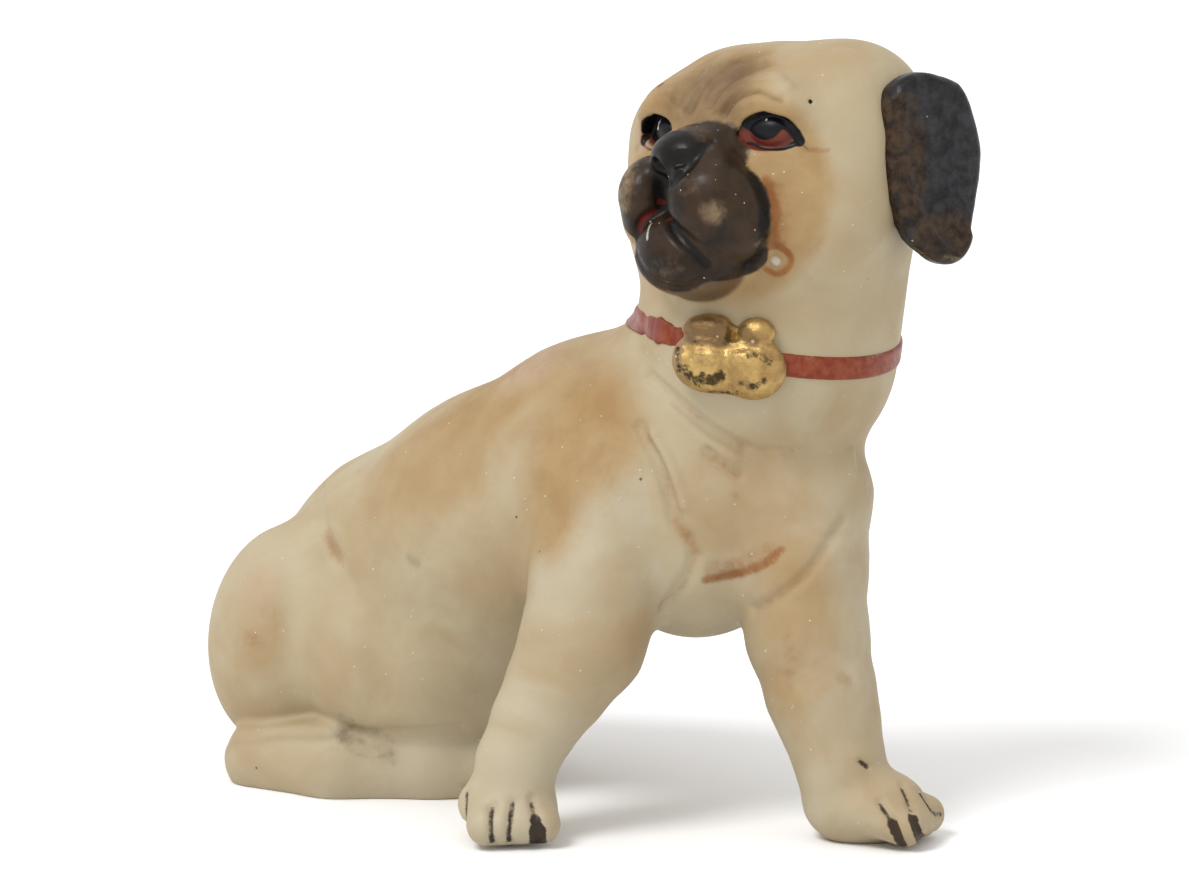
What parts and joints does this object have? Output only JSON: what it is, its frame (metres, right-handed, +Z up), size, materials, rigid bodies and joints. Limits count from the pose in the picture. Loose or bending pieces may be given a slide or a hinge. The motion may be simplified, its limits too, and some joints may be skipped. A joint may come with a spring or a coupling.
{
  "type": "ceramic dog figurine",
  "caption": "Seated pug figurine in painted bisque porcelain, with drooping ears, a relief collar and a gilt bow-shaped bell, standing on four flat soles.",
  "frame": {"origin": "centre of the bounding box's base, on the surface the figure stands on", "axes": "+Z up, -Y the display side that the chest is turned towards, the rump towards -X"},
  "size_m": [0.0994, 0.0793, 0.1003],
  "materials": {
    "bisque_body": "unglazed satin bisque, cream with tan and pink airbrushing",
    "bisque_head": "unglazed satin bisque, tan face with a dark painted muzzle and eyes",
    "bisque_legs": "unglazed satin bisque, cream, with dark painted claws",
    "ear_enamel": "dark brown and blue-black paint with a soft gloss",
    "collar_enamel": "worn red-pink paint with a soft gloss",
    "gilding": "worn gold lustre over ceramic, tarnished to black in the hollows"
  },
  "bodies": {
    "root": {"body_shell": "bisque_body", "head_shell": "bisque_head", "foreleg_left": "bisque_legs", "foreleg_right": "bisque_legs", "hind_foot_left": "bisque_legs", "hind_foot_right": "bisque_legs", "ear_left": "ear_enamel", "ear_right": "ear_enamel", "tail": "bisque_body", "collar_band": "collar_enamel", "bow_bell": "gilding"}
  },
  "joints": []
}
